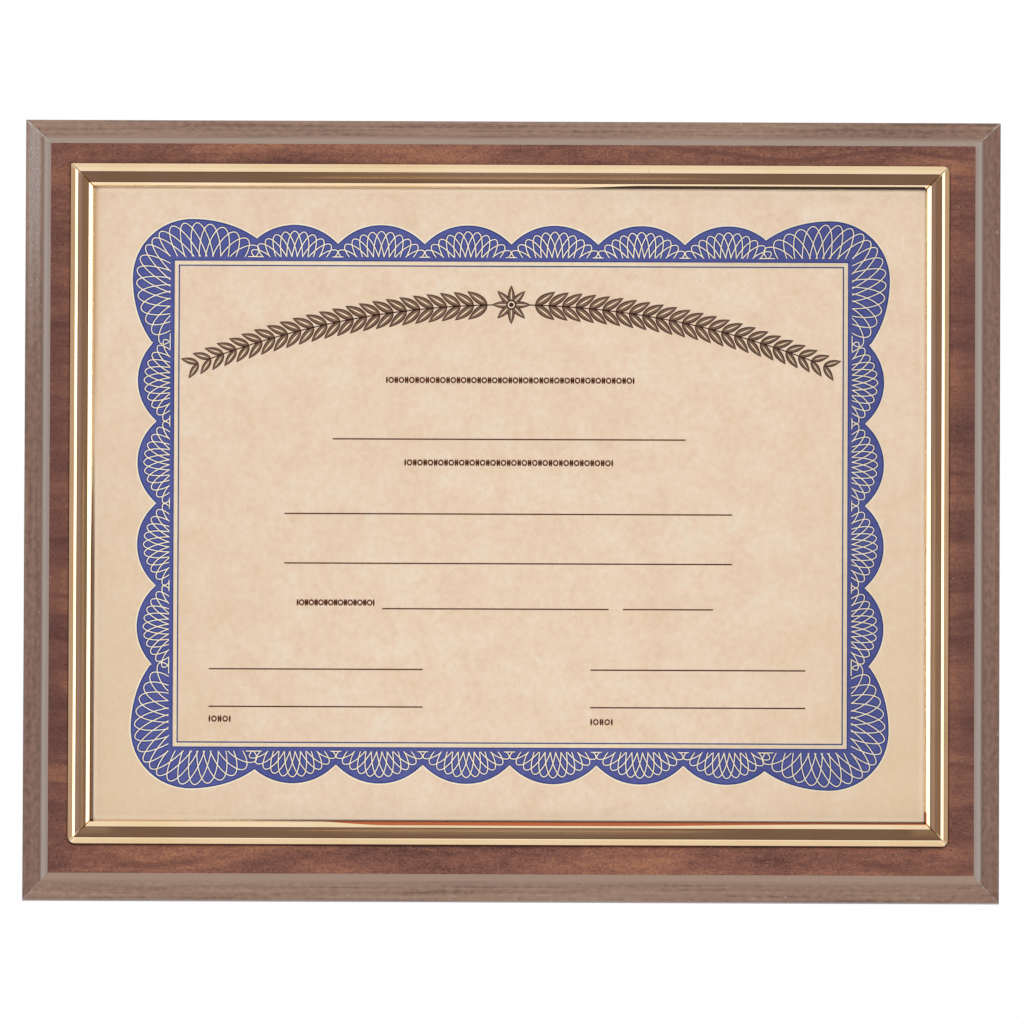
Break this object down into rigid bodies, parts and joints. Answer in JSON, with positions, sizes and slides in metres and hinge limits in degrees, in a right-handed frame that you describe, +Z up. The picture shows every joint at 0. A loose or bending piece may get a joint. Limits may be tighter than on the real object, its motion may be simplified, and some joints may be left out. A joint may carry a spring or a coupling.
{
  "type": "slide-in certificate plaque",
  "caption": "Wood-grain wall plaque with a cove edge and a mitred gold metal frame that a certificate and its clear cover slide into from above.",
  "frame": {"origin": "centre of the flat back, where the plaque meets the wall", "axes": "+X to the viewer's right, +Z up, +Y into the wall, so the front faces -Y"},
  "size_m": [0.324, 0.0178, 0.26],
  "materials": {
    "board_core": "raw wood-fibre board",
    "face_laminate": "semi-gloss walnut-grain laminate",
    "back_laminate": "plain brown backing laminate",
    "edge_foil": "satin walnut-grain foil",
    "gold_rail": "bright gold-coloured metal",
    "steel": "zinc-plated steel",
    "certificate_paper": "mottled parchment paper with a printed border",
    "clear_cover": "clear acrylic sheet"
  },
  "bodies": {
    "plaque": {"board_core": "board_core", "face_laminate": "face_laminate", "back_laminate": "back_laminate", "edge_foil_bottom": "edge_foil", "edge_foil_right": "edge_foil", "edge_foil_top": "edge_foil", "edge_foil_left": "edge_foil", "rail_bottom": "gold_rail", "rail_right": "gold_rail", "rail_top": "gold_rail", "rail_left": "gold_rail", "corner_key_bottom_left": "steel", "corner_key_bottom_right": "steel", "corner_key_top_right": "steel", "corner_key_top_left": "steel", "rail_screw_bottom_1": "steel", "rail_screw_bottom_2": "steel", "rail_screw_bottom_3": "steel", "rail_screw_right_1": "steel", "rail_screw_right_2": "steel", "rail_screw_left_1": "steel", "rail_screw_left_2": "steel"},
    "certificate": {"certificate": "certificate_paper"},
    "cover": {"clear_cover": "clear_cover"}
  },
  "joints": [
    {"name": "certificate_slide", "type": "slide", "parent": "plaque", "child": "certificate", "axis": [0, 0, 1], "range_m": [0, 0.225]},
    {"name": "cover_slide", "type": "slide", "parent": "plaque", "child": "cover", "axis": [0, 0, 1], "range_m": [0, 0.225]}
  ]
}
